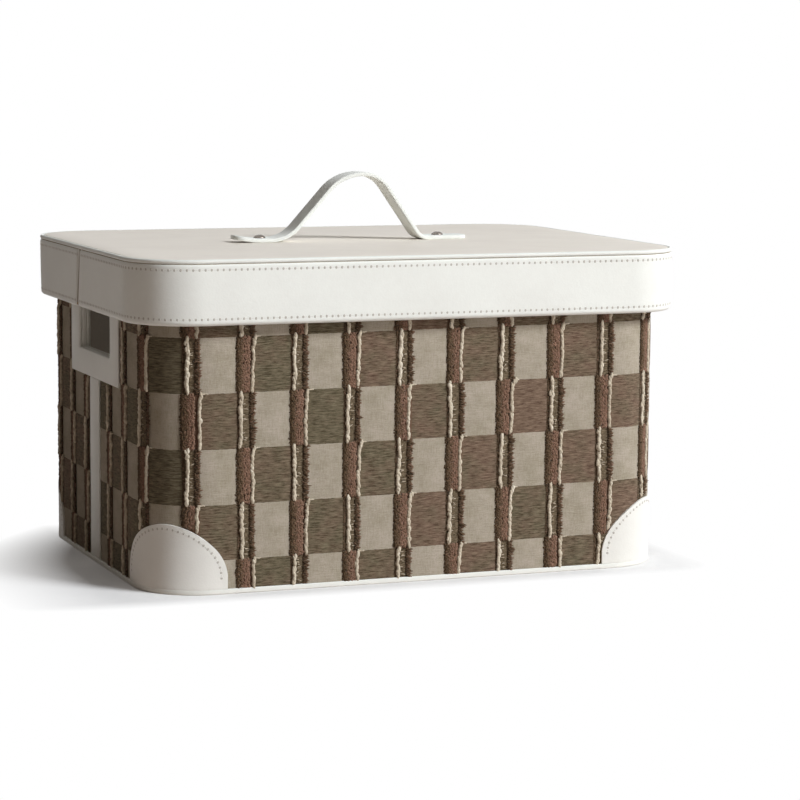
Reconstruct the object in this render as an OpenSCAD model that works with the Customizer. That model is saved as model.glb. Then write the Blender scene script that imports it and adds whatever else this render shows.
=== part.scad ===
// Rectangular storage box with rounded corners and a lift-off leather lid.
// A checked fabric with raised pile bands covers the wall. Leather patches
// guard the lower corners and frame a finger hole in each end.
// Millimetres, +Z up, origin at the middle of the underside.

/* [Overall size] */
// Lid length along X, outside the leather
lid_w = 375; // [320:1:460]
// Lid depth along Y, outside the leather
lid_d = 285; // [250:1:360]
// Height of the closed box, without the handle
box_h = 210; // [180:1:280]
// Lid corner radius, outside the leather
lid_corner_r = 42; // [30:0.5:60]
// Box corner radius, outside the fabric
body_corner_r = 40; // [25:0.5:55]

/* [Sheet thickness] */
// Leather of the lid, the patches, the strips and the base
leather_t = 1.2; // [0.8:0.1:1.6]
// Lining cloth of the box and the lid
lining_t = 0.8; // [0.5:0.1:1.2]
// Woven ground of the checked fabric
fabric_t = 2; // [1.2:0.1:3]
// Bent board of the wall
wall_board_t = 3; // [2:0.25:4.5]
// Base board
base_board_t = 2; // [1.5:0.25:4]
// Top board of the lid
lid_board_t = 3; // [2.5:0.25:5]
// Bent board behind the lid's skirt
rim_board_t = 3; // [2:0.25:4]

/* [Lid] */
// Depth of the skirt
skirt_h = 41; // [30:0.5:55]
// Room between the lid's lining and the fabric
lid_clear = 5.3; // [3:0.1:8]
// Lift left between the lid and the rim it rests on
seat_clear = 0.3; // [0.3:0.05:1]
// Welt cord along the top edge
welt_d = 2.8; // [2.2:0.1:3.6]
// Open line of the upright seam in the skirt
band_seam = 0.4; // [0.2:0.1:1]
// Distance of that seam behind the middle of the left side
seam_back = 6; // [-20:0.5:20]

/* [Handle] */
// Strap width
strap_w = 18; // [14:0.5:28]
// Strap thickness
strap_t = 2.6; // [1.6:0.1:3]
// Length from end to end, as it stands on the lid
strap_span = 166; // [150:1:190]
// Height of the arch above the lid
arch_h = 46; // [42:0.5:54]
// Distance of the highest place to the right of the middle
crown_x = 7; // [0:0.5:10]
// Outside radius of the arch to the left of its highest place
crown_left_r = 33; // [28:0.5:36]
// Outside radius of the arch to the right of its highest place
crown_right_r = 22.5; // [18:0.5:26]
// Radius where the left leg turns out onto the lid
foot_left_r = 25; // [16:0.5:28]
// Radius where the right leg turns out onto the lid
foot_right_r = 9; // [6:0.5:14]
// Slope of the left leg in degrees
left_angle = 48; // [45:0.5:52]
// Slope of the right leg in degrees
right_angle = 55; // [50:0.5:60]
// Corner radius of the strap's ends
tab_r = 6; // [2:0.5:6.5]
// Distance of each rivet from the end of the strap
rivet_inset = 19; // [12:0.5:20]
// Rivet head diameter
rivet_head_d = 8; // [6:0.25:10]
// Rivet head height
rivet_head_h = 2.2; // [1.5:0.1:2.8]
// Rivet shank diameter
shank_d = 3.6; // [3:0.1:4.5]
// Washer diameter
washer_d = 11; // [9:0.5:14]
// Washer thickness
washer_t = 1; // [0.6:0.1:1.5]

/* [Fabric] */
// Width of one column of the check, pile band included
column_pitch = 35.1; // [28:0.1:45]
// Sideways place of a column's middle on the front
column_shift = 7.3; // [-15:0.1:15]
// Width of a pile band
pile_w = 11; // [6:0.5:16]
// Height of the pile over the ground
pile_h = 0.9; // [0.4:0.1:1.5]
// Open line where the front and rear fabrics meet
fabric_seam = 0.4; // [0.2:0.1:1]

/* [Patches and grips] */
// Height of a corner patch
corner_patch_h = 41; // [34:0.5:60]
// How far a corner patch runs onto each flat side
corner_reach = 8; // [6:0.5:22]
// Finger hole width
hole_w = 78; // [64:1:90]
// Finger hole height
hole_h = 30; // [22:0.5:40]
// Finger hole corner radius
hole_r = 3; // [1.5:0.5:8]
// Step from the skirt's lower edge down to the finger hole
hole_drop = 0.5; // [0:0.5:12]
// Leather left at the sides of the finger hole
patch_side = 19; // [12:0.5:24]
// Leather left over and under the finger hole
patch_end = 16; // [10:0.5:18]
// Leather left round the hole on the inside
facing_rim = 12; // [8:0.5:16]
// Width of the strip under the grip
strip_w = 22; // [14:0.5:30]

/* [Hidden] */
$fn = 96;
// Glue line between bent layers
glue = 0.1;
// Length and angle by which the strap's runs lap where they join
lap = 0.3;
lap_angle = 2;
// How far each run lies inside the faces of the run that it laps
ease = 0.04;
// Level run at the highest place of the strap
crown_flat = 1;
// Overlap used only where a cutter passes through a face
cut = 1;

// Lid layers, counted inwards from the outside of the leather
rim_in = leather_t + glue;
rim_end = rim_in + rim_board_t;
lid_lining_in = rim_end + glue;
lid_lining_end = lid_lining_in + lining_t;
overhang = lid_lining_end + lid_clear;
skirt_z = box_h - skirt_h;
lid_board_z = box_h - leather_t - lid_board_t;
lid_lining_z = lid_board_z - lining_t;
welt_z = box_h - welt_d;
hem_z = skirt_z + leather_t + glue;

// Box layers, counted inwards from the outside of the fabric
body_w = lid_w - 2 * overhang;
body_d = lid_d - 2 * overhang;
wall_in = fabric_t + glue;
wall_end = wall_in + wall_board_t;
lining_in = wall_end + glue;
lining_end = lining_in + lining_t;
base_h = leather_t + base_board_t;
base_lip = leather_t + 2 * glue;
rim_z = lid_lining_z - seat_clear;
wall_top = rim_z - lining_t;

// Grip places
hole_top = skirt_z - hole_drop;
hole_mid = hole_top - hole_h / 2;
patch_w = hole_w + 2 * patch_side;
patch_low = hole_top - hole_h - patch_end;
sleeve_x = body_w / 2 - lining_end;

// Handle ends and rivets
tip_x = strap_span / 2;
rivet_x = tip_x - rivet_inset;
hole_d = shank_d + 2 * glue;
// The flat cap of a sphere with the head's width and height
dome_r = (rivet_head_d * rivet_head_d / 4 + rivet_head_h * rivet_head_h) / (2 * rivet_head_h);

// Fabric run, measured along the outside from the middle of the front
front_run = body_w / 2 - body_corner_r;
bend_run = body_corner_r * PI / 2;
half_run = front_run + bend_run + body_d / 2 - body_corner_r;

leather_white = [0.9, 0.89, 0.86];
leather_top = [0.86, 0.83, 0.8];
cloth_brown = [0.42, 0.35, 0.28];
board_grey = [0.6, 0.55, 0.47];
lining_grey = [0.52, 0.49, 0.46];
steel = [0.75, 0.75, 0.76];

// Rectangle with round corners, pulled in on all sides by inset
module rounded(w, d, r, inset) {
    ww = w - 2 * inset;
    dd = d - 2 * inset;
    rr = r - inset;
    square([ww - 2 * rr, dd], center = true);
    square([ww, dd - 2 * rr], center = true);
    for (x = [-1, 1], y = [-1, 1])
        translate([x * (ww / 2 - rr), y * (dd / 2 - rr)]) circle(r = rr);
}

module body_plate(inset, z, h) {
    translate([0, 0, z]) linear_extrude(height = h) rounded(body_w, body_d, body_corner_r, inset);
}

module lid_plate(inset, z, h) {
    translate([0, 0, z]) linear_extrude(height = h) rounded(lid_w, lid_d, lid_corner_r, inset);
}

module body_ring(outer, inner, z, h) {
    translate([0, 0, z]) linear_extrude(height = h) difference() {
        rounded(body_w, body_d, body_corner_r, outer);
        rounded(body_w, body_d, body_corner_r, inner);
    }
}

module lid_ring(outer, inner, z, h) {
    translate([0, 0, z]) linear_extrude(height = h) difference() {
        rounded(lid_w, lid_d, lid_corner_r, outer);
        rounded(lid_w, lid_d, lid_corner_r, inner);
    }
}

// Block that keeps the front half of the box, behind it lies the seam
module front_half(seam) {
    translate([-lid_w / 2, -lid_d / 2, 0]) cube([lid_w, lid_d / 2 - seam / 2, box_h]);
}

// Finger hole as a solid along X, grown all round, from x0 for a length
module hole_bar(grow, x0, len) {
    translate([x0, 0, hole_mid]) rotate([90, 0, 90]) linear_extrude(height = len)
        rounded(hole_w, hole_h, hole_r, -grow);
}

// Both finger holes, cut right through the wall
module finger_holes() {
    grow = leather_t + glue;
    hole_bar(grow, -body_w, 2 * body_w);
}

// Upright outline of a corner patch, looking along the corner's diagonal
module patch_outline(grow) {
    half_w = (body_corner_r + corner_reach) * sin(45);
    intersection() {
        union() {
            translate([0, corner_patch_h - half_w]) circle(r = half_w + grow);
            translate([-half_w - grow, 0]) square([2 * half_w + 2 * grow, max(corner_patch_h - half_w, 0.01)]);
        }
        translate([-2 * half_w, 0]) square([4 * half_w, corner_patch_h + grow]);
    }
}

// Bar of that outline through the front right corner
module patch_bar(grow) {
    translate([body_w / 2 - body_corner_r, body_corner_r - body_d / 2, base_h])
        rotate([90, 0, 45]) translate([0, 0, -corner_reach])
            linear_extrude(height = corner_reach + 2 * body_corner_r) patch_outline(grow);
}

module corner_patch() {
    intersection() {
        body_ring(-glue - leather_t, -glue, base_h, corner_patch_h);
        patch_bar(0);
    }
}

// One pile band in plan, placed by its run along the outside of the fabric
module pile_mark(run) {
    side = run < 0 ? -1 : 1;
    dist = abs(run);
    if (dist <= front_run)
        translate([run, -body_d / 2]) square([pile_w, 2 * pile_h], center = true);
    else if (dist <= front_run + bend_run)
        translate([side * front_run, body_corner_r - body_d / 2])
            rotate(side * (dist - front_run) / bend_run * 90)
                translate([0, -body_corner_r]) square([pile_w, 2 * pile_h], center = true);
    else
        translate([side * body_w / 2, dist - half_run]) square([2 * pile_h, pile_w], center = true);
}

// Pile bands of one fabric, left out under the leather
module pile_bands() {
    reach = floor((half_run + column_pitch) / column_pitch);
    difference() {
        translate([0, 0, base_h]) linear_extrude(height = wall_top - base_h) difference() {
            for (i = [-reach : reach]) {
                run = column_shift + (i + 0.5) * column_pitch;
                if (abs(run) + pile_w / 2 < half_run - strip_w / 2) pile_mark(run);
            }
            rounded(body_w, body_d, body_corner_r, fabric_t / 2);
        }
        patch_bar(glue);
        mirror([1, 0, 0]) patch_bar(glue);
        translate([-body_w, -patch_w / 2 - glue, patch_low - glue])
            cube([2 * body_w, patch_w + 2 * glue, hole_h + 2 * patch_end + 2 * glue]);
    }
}

module fabric() {
    difference() {
        union() {
            intersection() {
                body_ring(0, fabric_t, base_h, wall_top - base_h);
                front_half(fabric_seam);
            }
            pile_bands();
        }
        finger_holes();
    }
}

module wall_board() {
    difference() {
        intersection() {
            body_ring(wall_in, wall_end, base_h, wall_top - base_h);
            front_half(0);
        }
        finger_holes();
    }
}

module side_strip() {
    translate([body_w / 2, -strip_w / 2, base_h]) cube([leather_t, strip_w, patch_low - base_h]);
}

// Patch outside the fabric, with its edge turned in through the wall
module grip_patch() {
    difference() {
        union() {
            translate([body_w / 2, -patch_w / 2, patch_low])
                cube([leather_t, patch_w, hole_h + 2 * patch_end]);
            hole_bar(leather_t, sleeve_x, lining_end + leather_t);
        }
        hole_bar(0, sleeve_x - cut, lining_end + leather_t + 2 * cut);
    }
}

module grip_facing() {
    difference() {
        translate([sleeve_x - leather_t, 0, hole_mid]) rotate([90, 0, 90])
            linear_extrude(height = leather_t) rounded(hole_w, hole_h, hole_r, -facing_rim);
        hole_bar(0, sleeve_x - leather_t - cut, leather_t + 2 * cut);
    }
}

// Shank holes for both rivets
module rivet_holes(z, h) {
    for (side = [-1, 1])
        translate([side * rivet_x, 0, z - cut]) cylinder(d = hole_d, h = h + 2 * cut);
}

module base_leather() {
    color(leather_white) difference() {
        body_plate(-base_lip, 0, base_h);
        body_plate(leather_t - base_lip, leather_t, base_h);
    }
}

module base_board() {
    color(board_grey) body_plate(leather_t - base_lip + glue, leather_t, base_board_t);
}

module wall_board_front() {
    color(board_grey) wall_board();
}

module wall_board_rear() {
    color(board_grey) rotate([0, 0, 180]) wall_board();
}

module fabric_front() {
    color(cloth_brown) fabric();
}

module fabric_rear() {
    color(cloth_brown) rotate([0, 0, 180]) fabric();
}

module wall_lining() {
    color(lining_grey) difference() {
        union() {
            body_ring(lining_in, lining_end, base_h, rim_z - base_h);
            body_ring(0, lining_end, wall_top, lining_t);
        }
        finger_holes();
    }
}

module base_lining() {
    color(lining_grey) body_plate(lining_end + glue, base_h, lining_t);
}

module side_strip_left() {
    color(leather_white) mirror([1, 0, 0]) side_strip();
}

module side_strip_right() {
    color(leather_white) side_strip();
}

module grip_patch_left() {
    color(leather_white) mirror([1, 0, 0]) grip_patch();
}

module grip_patch_right() {
    color(leather_white) grip_patch();
}

module grip_facing_left() {
    color(leather_white) mirror([1, 0, 0]) grip_facing();
}

module grip_facing_right() {
    color(leather_white) grip_facing();
}

module corner_patch_front_left() {
    color(leather_white) mirror([1, 0, 0]) corner_patch();
}

module corner_patch_front_right() {
    color(leather_white) corner_patch();
}

module corner_patch_rear_left() {
    color(leather_white) rotate([0, 0, 180]) corner_patch();
}

module corner_patch_rear_right() {
    color(leather_white) mirror([0, 1, 0]) corner_patch();
}

module lid_board() {
    color(board_grey) difference() {
        lid_plate(rim_end + glue, lid_board_z, lid_board_t);
        rivet_holes(lid_board_z, lid_board_t);
    }
}

module lid_rim_board() {
    color(board_grey) lid_ring(rim_in, rim_end, hem_z, welt_z - hem_z);
}

module lid_top_leather() {
    color(leather_top) difference() {
        lid_plate(welt_d + glue, box_h - leather_t, leather_t);
        rivet_holes(box_h - leather_t, leather_t);
    }
}

// Skirt leather with its lower edge turned under the board and the lining
module lid_band() {
    color(leather_white) difference() {
        union() {
            lid_ring(0, leather_t, skirt_z, welt_z - skirt_z);
            lid_ring(0, lid_lining_end, skirt_z, leather_t);
        }
        translate([-lid_w / 2 - cut, seam_back - band_seam / 2, skirt_z - cut])
            cube([lid_lining_end + 2 * cut, band_seam, skirt_h + 2 * cut]);
    }
}

// Round cord along the top edge, sewn to a flat flange that lies under the top leather
module lid_welt() {
    cord_r = welt_d / 2;
    cord_z = box_h - cord_r;
    bend_r = lid_corner_r - cord_r;
    run_x = lid_w - 2 * lid_corner_r;
    run_y = lid_d - 2 * lid_corner_r;
    color(leather_white) union() {
        lid_ring(cord_r, rim_end, welt_z, welt_d - leather_t);
        for (y = [-1, 1])
            translate([-run_x / 2, y * (lid_d / 2 - cord_r), cord_z]) rotate([0, 90, 0])
                cylinder(r = cord_r, h = run_x);
        for (x = [-1, 1])
            translate([x * (lid_w / 2 - cord_r), run_y / 2, cord_z]) rotate([90, 0, 0])
                cylinder(r = cord_r, h = run_y);
        for (turn = [0 : 3])
            translate([(turn == 0 || turn == 3 ? 1 : -1) * run_x / 2, (turn < 2 ? 1 : -1) * run_y / 2, cord_z])
                rotate([0, 0, turn * 90]) rotate_extrude(angle = 90)
                    translate([bend_r, 0]) circle(r = cord_r);
    }
}

module lid_top_lining() {
    color(lining_grey) difference() {
        lid_plate(lid_lining_in, lid_lining_z, lining_t);
        rivet_holes(lid_lining_z, lining_t);
    }
}

module lid_side_lining() {
    color(lining_grey) lid_ring(lid_lining_in, lid_lining_end, hem_z, lid_lining_z - hem_z);
}

// One side of the strap seen from the front, from the highest place to an end.
// The runs follow the middle of the strap's thickness.
module strap_side(crown_r, angle, foot_r, reach) {
    crown_mid = crown_r - strap_t / 2;
    crown_z = box_h + arch_h - crown_r;
    leg_rise = arch_h - strap_t - (crown_mid + foot_r) * (1 - cos(angle));
    leg_len = leg_rise / sin(angle);
    foot_x = crown_flat / 2 + (crown_mid + foot_r) * sin(angle) + leg_len * cos(angle);
    foot_out = foot_r + strap_t / 2;
    // Crown, an arc from the top down to where the leg starts
    translate([crown_flat / 2, crown_z]) intersection() {
        difference() {
            circle(r = crown_r);
            circle(r = crown_r - strap_t);
        }
        polygon([[0, 0], [0, 2 * crown_r], [2 * crown_r * tan(angle), 2 * crown_r]]);
    }
    // Leg, a straight run down the slope
    translate([crown_flat / 2 + crown_mid * sin(angle), crown_z + crown_mid * cos(angle)]) rotate(-angle)
        translate([-lap, ease - strap_t / 2]) square([leg_len + lap, strap_t - 2 * ease]);
    // Foot, an arc that turns the leg out onto the lid
    translate([foot_x, box_h + foot_out]) intersection() {
        difference() {
            circle(r = foot_out - 2 * ease);
            circle(r = foot_r - strap_t / 2 + 2 * ease);
        }
        polygon([
            [0, 0],
            [2 * foot_out * tan(lap_angle), -2 * foot_out],
            [-2 * foot_out * tan(angle + lap_angle), -2 * foot_out]
        ]);
    }
    // Flat end
    translate([foot_x, box_h]) square([reach - foot_x, strap_t]);
}

module handle_strap() {
    color(leather_white) difference() {
        intersection() {
            translate([crown_x, strap_w / 2, 0]) rotate([90, 0, 0]) linear_extrude(height = strap_w) union() {
                strap_side(crown_right_r, right_angle, foot_right_r, tip_x - crown_x);
                mirror([1, 0]) strap_side(crown_left_r, left_angle, foot_left_r, tip_x + crown_x);
                translate([-crown_flat / 2 - lap, box_h + arch_h - strap_t + ease])
                    square([crown_flat + 2 * lap, strap_t - 2 * ease]);
            }
            translate([0, 0, box_h - cut]) linear_extrude(height = arch_h + 2 * cut)
                rounded(2 * tip_x, strap_w, tab_r, 0);
        }
        rivet_holes(box_h, strap_t);
    }
}

// Domed head on the strap, shank through the lid, flat end set over the washer
module rivet() {
    head_z = box_h + strap_t;
    washer_z = lid_lining_z - washer_t;
    translate([rivet_x, 0, 0]) union() {
        intersection() {
            translate([0, 0, head_z + rivet_head_h - dome_r]) sphere(r = dome_r);
            translate([0, 0, head_z]) cylinder(d = rivet_head_d + cut, h = rivet_head_h + cut);
        }
        translate([0, 0, washer_z]) cylinder(d = shank_d, h = head_z + glue - washer_z);
        translate([0, 0, washer_z - washer_t]) cylinder(d = shank_d * 1.6, h = washer_t);
    }
}

module washer() {
    translate([rivet_x, 0, lid_lining_z - washer_t]) difference() {
        cylinder(d = washer_d, h = washer_t);
        translate([0, 0, -cut]) cylinder(d = hole_d, h = washer_t + 2 * cut);
    }
}

module rivet_left() {
    color(steel) mirror([1, 0, 0]) rivet();
}

module rivet_right() {
    color(steel) rivet();
}

module washer_left() {
    color(steel) mirror([1, 0, 0]) washer();
}

module washer_right() {
    color(steel) washer();
}

base_leather();
base_board();
wall_board_front();
wall_board_rear();
fabric_front();
fabric_rear();
wall_lining();
base_lining();
side_strip_left();
side_strip_right();
grip_patch_left();
grip_patch_right();
grip_facing_left();
grip_facing_right();
corner_patch_front_left();
corner_patch_front_right();
corner_patch_rear_left();
corner_patch_rear_right();
lid_board();
lid_rim_board();
lid_top_leather();
lid_band();
lid_welt();
lid_top_lining();
lid_side_lining();
handle_strap();
rivet_left();
rivet_right();
washer_left();
washer_right();
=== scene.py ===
import math

import bpy
import numpy as np
from mathutils import Matrix, Vector


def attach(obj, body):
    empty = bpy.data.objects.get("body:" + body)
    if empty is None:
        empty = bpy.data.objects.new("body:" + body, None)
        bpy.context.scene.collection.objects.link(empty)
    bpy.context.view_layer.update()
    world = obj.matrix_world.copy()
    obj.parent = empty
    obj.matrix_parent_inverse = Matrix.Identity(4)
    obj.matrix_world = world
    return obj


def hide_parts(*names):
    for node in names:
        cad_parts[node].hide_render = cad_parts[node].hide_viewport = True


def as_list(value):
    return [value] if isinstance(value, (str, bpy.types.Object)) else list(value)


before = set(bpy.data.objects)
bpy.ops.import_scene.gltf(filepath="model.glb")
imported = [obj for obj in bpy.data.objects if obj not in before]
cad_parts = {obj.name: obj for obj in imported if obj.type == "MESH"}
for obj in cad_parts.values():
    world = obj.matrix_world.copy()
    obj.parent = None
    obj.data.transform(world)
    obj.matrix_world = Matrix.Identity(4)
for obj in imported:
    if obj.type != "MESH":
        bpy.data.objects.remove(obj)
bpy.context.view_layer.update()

# Sizes of the box, in metres
MM = 0.001
LID_W, LID_D, LID_R = 375 * MM, 285 * MM, 42 * MM
BOX_H = 210 * MM
SKIRT_Z = 169 * MM
LEATHER = 1.2 * MM
WELT_D = 2.8 * MM
LID_LAYERS = 5.2 * MM
BODY_W, BODY_D, BODY_R = 354 * MM, 264 * MM, 40 * MM
GLUE = 0.1 * MM
BASE_H = 3.2 * MM
BASE_LIP = 1.4 * MM
WALL_TOP, RIM_Z = 203.9 * MM, 204.7 * MM
LINING, LINING_END = 0.8 * MM, 6 * MM
LID_LINING_Z, HEM_Z = 205 * MM, 170.3 * MM
STRAP_W, STRAP_T, STRAP_SPAN = 18 * MM, 2.6 * MM, 166 * MM
ARCH_H, CROWN_X, CROWN_FLAT = 46 * MM, 7 * MM, 1 * MM
LEFT_LEG = (33 * MM, 25 * MM, math.radians(48))
RIGHT_LEG = (22.5 * MM, 9 * MM, math.radians(55))
TAB_R = 6 * MM
RIVET_INSET = 19 * MM
HOLE_W, HOLE_H, HOLE_R = 78 * MM, 30 * MM, 3 * MM
HOLE_TOP = SKIRT_Z - 0.5 * MM
HOLE_MID = HOLE_TOP - HOLE_H / 2
PATCH_W = HOLE_W + 38 * MM
PATCH_LOW = HOLE_TOP - HOLE_H - 16 * MM
PATCH_TOP = HOLE_TOP + 16 * MM
FACING_RIM = 12 * MM
STRIP_W = 22 * MM
CORNER_H, CORNER_REACH = 41 * MM, 8 * MM
CORNER_BEND, DIAGONAL = BODY_R * math.pi / 4, math.sin(math.pi / 4)
CORNER_HALF = (BODY_R + CORNER_REACH) * DIAGONAL
CORNER_BORDERS, CORNER_SUNK = (2.3 * MM, 0.9 * MM), 0.1 * MM
SEAM_GAP, SEAM_BACK, SEAM_SLOPE = 3.0 * MM, 6 * MM, 0.2
SEAM_DEPTH, SEAM_FALL = 1.2 * MM, 2.4 * MM
SEAM_TAPE_W, SEAM_TAPE_Y = 12 * MM, 1.15 * MM
WELT_SLOT, WELT_DEPTH, WELT_FALL = 0.25 * MM, 0.7 * MM, 1.3 * MM
HEM_ROUND, SKIRT_LEAN = 2.7 * MM, 0.5 * MM
STITCH_W, CORNER_STITCH, SKIRT_STITCH = 0.75 * MM, 3.6 * MM, 3.85 * MM
HOLE_CUT = 1.3 * MM
CUT_LOW, CUT_HIGH = HOLE_MID - HOLE_H / 2 - HOLE_CUT, HOLE_MID + HOLE_H / 2 + HOLE_CUT
CUT_REACH = HOLE_W / 2 + HOLE_CUT
SHEET_GAP, LID_LINING_LESS = 0.2 * MM, 8.8 * MM
TIP_LIFT, TIP_RUN = 2.2 * MM, 16 * MM
RIVET_FOOT, RIVET_SEAT, RIVET_SUNK = 203 * MM, 204 * MM, 0.25 * MM

# Rivet head: radius and rise above the strap, in millimetres
RIVET_DOME = ((3.6, 0), (4.0, 0.3), (4.0, 0.7), (3.7, 1.15), (3.0, 1.75), (2.1, 2.2), (1.1, 2.42), (0, 2.45))

# The check: column and row pitch, and where a column and a row start
COLUMN_PITCH, COLUMN_START = 35.1 * MM, -10.25 * MM
ROW_PITCH, ROW_START, ROW_RISE = 34.9 * MM, 22.7 * MM, 0.0075
HALF_RUN = BODY_W / 2 - BODY_R + BODY_R * math.pi / 2 + BODY_D / 2 - BODY_R

# Pile and yarn: steps up the wall, and places across a band in millimetres from its middle
FRINGE_STEP, VELVET_STEP, YARN_STEP = 0.62 * MM, 0.75 * MM, 0.95 * MM
BAND_REACH = 5.5 * MM
FRINGE_LEFT, FRINGE_RIGHT = -5.5, ((1.4, 2.6), (2.7, 2.8))
VELVET_ROOTS, VELVET_SHADOW_EDGE = (-5.9, -4.5, -3.1, -1.7, -0.3, 0.5), (-6.4, -6.8)
YARN_BY_FRINGE, YARN_BY_VELVET = -4.2, 2.9
YARN_TURN = (1.8, 3.0, 4.1)

# Values of the handwork
SHARP = math.radians(50)
ALONG_X, UPRIGHT = (0, math.pi / 2, 0), (math.pi / 2, 0, 0)
TINY, HAIR = 0.01 * MM, 0.0001 * MM

rng = np.random.default_rng(7)
near, between = rng.normal, rng.uniform


# Handling of pieces

def hands_off():
    """Leaves edit mode and lets go of everything."""
    if bpy.context.object and bpy.context.object.mode != "OBJECT":
        bpy.ops.object.mode_set(mode="OBJECT")
    bpy.ops.object.select_all(action="DESELECT")


def hold(piece):
    hands_off()
    piece.select_set(True)
    bpy.context.view_layer.objects.active = piece
    return piece


def fresh(name):
    """Names the piece that was just added and fixes its place in its mesh."""
    piece = bpy.context.object
    piece.name = piece.data.name = name
    bpy.ops.object.transform_apply(location=True, rotation=True, scale=True)
    return piece


def points(piece):
    co = np.empty(len(piece.data.vertices) * 3, np.float32)
    piece.data.vertices.foreach_get("co", co)
    return co.reshape(-1, 3).astype(float)


def set_points(piece, co):
    piece.data.vertices.foreach_set("co", np.asarray(co, np.float32).ravel())
    piece.data.update()


def work(piece, mode="VERT"):
    """Goes into edit mode with nothing picked."""
    hold(piece)
    bpy.ops.object.mode_set(mode="EDIT")
    bpy.ops.mesh.select_mode(type=mode)
    bpy.ops.mesh.select_all(action="DESELECT")


def pick(piece, mode, rule):
    """Picks the points, edges or faces whose middle meets the rule, and goes into edit mode."""
    work(piece, mode)
    bpy.ops.object.mode_set(mode="OBJECT")
    co = points(piece)
    mesh = piece.data
    if mode == "VERT":
        for v, p in zip(mesh.vertices, co):
            v.select = bool(rule(p))
    elif mode == "EDGE":
        for e in mesh.edges:
            a, b = co[e.vertices[0]], co[e.vertices[1]]
            e.select = bool(rule((a + b) / 2, b - a))
    else:
        for f in mesh.polygons:
            f.select = bool(rule(np.array(f.center), np.array(f.normal)))
    bpy.ops.object.mode_set(mode="EDIT")


def finish_with(piece, kind, **settings):
    """Adds a modifier and applies it."""
    hold(piece)
    bpy.ops.object.modifier_add(type=kind)
    modifier = piece.modifiers[-1]
    for key, value in settings.items():
        setattr(modifier, key, value)
    bpy.ops.object.modifier_apply(modifier=modifier.name)
    return piece


def soften(piece, width, segments=3):
    """Rounds every sharp edge a little."""
    return finish_with(piece, "BEVEL", width=width, segments=segments, limit_method="ANGLE", angle_limit=SHARP)


def thicken(piece, thickness, edge, offset=-1.0, segments=3):
    """Gives a sheet its thickness, with softly rounded edges."""
    finish_with(piece, "SOLIDIFY", thickness=thickness, offset=offset, use_even_offset=True)
    return soften(piece, edge, segments)


def smooth(piece, angle=40):
    hold(piece)
    bpy.ops.object.shade_smooth_by_angle(angle=math.radians(angle))
    return piece


def slice_up(piece, axis, places):
    """Cuts the piece across at each place along an axis."""
    work(piece)
    normal = [0.0, 0.0, 0.0]
    normal[axis] = 1.0
    for place in places:
        spot = [0.0, 0.0, 0.0]
        spot[axis] = place
        bpy.ops.mesh.select_all(action="SELECT")
        bpy.ops.mesh.bisect(plane_co=spot, plane_no=normal)
    hands_off()


def take_all(piece, mode="FACE"):
    """Goes into edit mode with everything picked."""
    work(piece, mode)
    bpy.ops.mesh.select_all(action="SELECT")


def face_out(piece):
    take_all(piece)
    bpy.ops.mesh.normals_make_consistent(inside=False)
    hands_off()


def turn_faces(piece):
    take_all(piece)
    bpy.ops.mesh.flip_normals()
    hands_off()


def cut_out(piece, rule):
    """Takes out the faces whose middle meets the rule."""
    pick(piece, "FACE", rule)
    bpy.ops.mesh.delete(type="FACE")
    hands_off()


def draw_out(piece, rule, way):
    """Draws a wall out of the edges whose middle meets the rule."""
    pick(piece, "EDGE", rule)
    bpy.ops.mesh.extrude_region_move(TRANSFORM_OT_translate={"value": way})
    hands_off()


def round_off(piece, rule, radius, segments):
    """Rounds the edges whose middle meets the rule."""
    pick(piece, "EDGE", rule)
    bpy.ops.mesh.bevel(offset=radius, segments=segments, affect="EDGES")
    hands_off()


def blank(add, name, size, place, turn=(0, 0, 0)):
    """A plane or cube of a size, as the start of a piece."""
    hands_off()
    add(size=1, location=place, rotation=turn)
    bpy.context.object.scale = size
    return fresh(name)


def grain(name, segments, rings, turn=(0, 0, 0)):
    """A small round grain, one unit across, to be laid many times over."""
    hands_off()
    bpy.ops.mesh.primitive_uv_sphere_add(segments=segments, ring_count=rings, radius=0.5, rotation=turn)
    return fresh(name)


def copy_of(piece, name):
    hold(piece)
    bpy.ops.object.duplicate()
    twin = bpy.context.object
    twin.name = twin.data.name = name
    return twin


def turned(piece, name, angle):
    """A copy turned about the upright axis of the box."""
    twin = copy_of(piece, name)
    twin.rotation_euler = (0, 0, angle)
    bpy.ops.object.transform_apply(location=True, rotation=True, scale=True)
    return twin


def mirrored(piece, name, axis):
    """A copy mirrored through the middle of the box, with its faces turned out again."""
    twin = copy_of(piece, name)
    scale = [1, 1, 1]
    scale[axis] = -1
    twin.scale = scale
    bpy.ops.object.transform_apply(location=True, rotation=True, scale=True)
    face_out(twin)
    return twin


def dress(piece, material, body, slot, *nodes):
    """Material, body and the solids that the piece stands for. The slot is not used."""
    piece.data.materials.clear()
    piece.data.materials.append(material)
    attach(piece, body)
    if nodes:
        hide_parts(*nodes)
    return piece


def pair(piece, material, body, slot, node):
    """Dresses a piece of the right side, and a mirrored copy of it for the left."""
    dress(mirrored(piece, piece.name.replace("right", "left"), 0), material, body, slot, node + "_left")
    dress(piece, material, body, slot, node + "_right")


# Wrapping: pieces are laid out flat along X and then led round the box

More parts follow.
